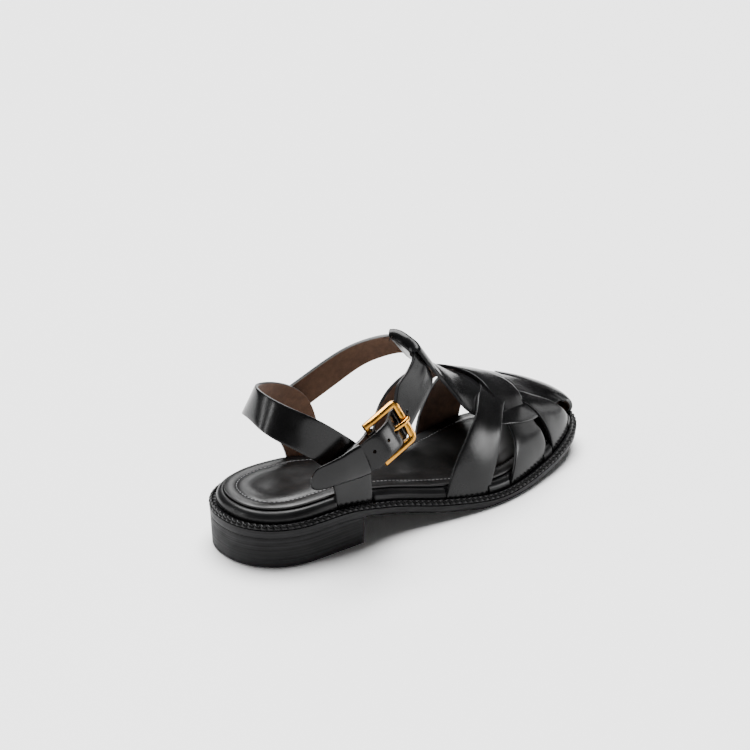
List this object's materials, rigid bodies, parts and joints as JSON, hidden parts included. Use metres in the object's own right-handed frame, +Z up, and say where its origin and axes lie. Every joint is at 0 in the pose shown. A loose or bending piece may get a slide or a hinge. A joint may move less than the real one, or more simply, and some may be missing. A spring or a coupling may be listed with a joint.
{
  "type": "fisherman sandal",
  "caption": "Black leather fisherman sandal with woven toe straps, heel strap, brass ankle buckle and a low stacked heel (right shoe).",
  "frame": {"origin": "on the floor, below the middle of the sole's outline", "axes": "+X towards the toe, +Y towards the inner (big toe) side, +Z up"},
  "size_m": [0.262, 0.0948, 0.1017],
  "materials": {
    "upper_leather": "gloss",
    "insole_leather": "satin",
    "sole_rubber": "satin",
    "heel_stack": "matte",
    "buckle_brass": "polished"
  },
  "bodies": {
    "root": {"heel_block": "heel_stack", "outsole": "sole_rubber", "welt": "sole_rubber", "midsole": "insole_leather", "insole": "insole_leather", "vamp": "upper_leather", "heel_strap": "upper_leather", "ankle_strap": "upper_leather", "buckle_strap": "upper_leather", "cover_band": "upper_leather", "buckle_frame": "buckle_brass", "buckle_prong": "buckle_brass"}
  },
  "joints": []
}
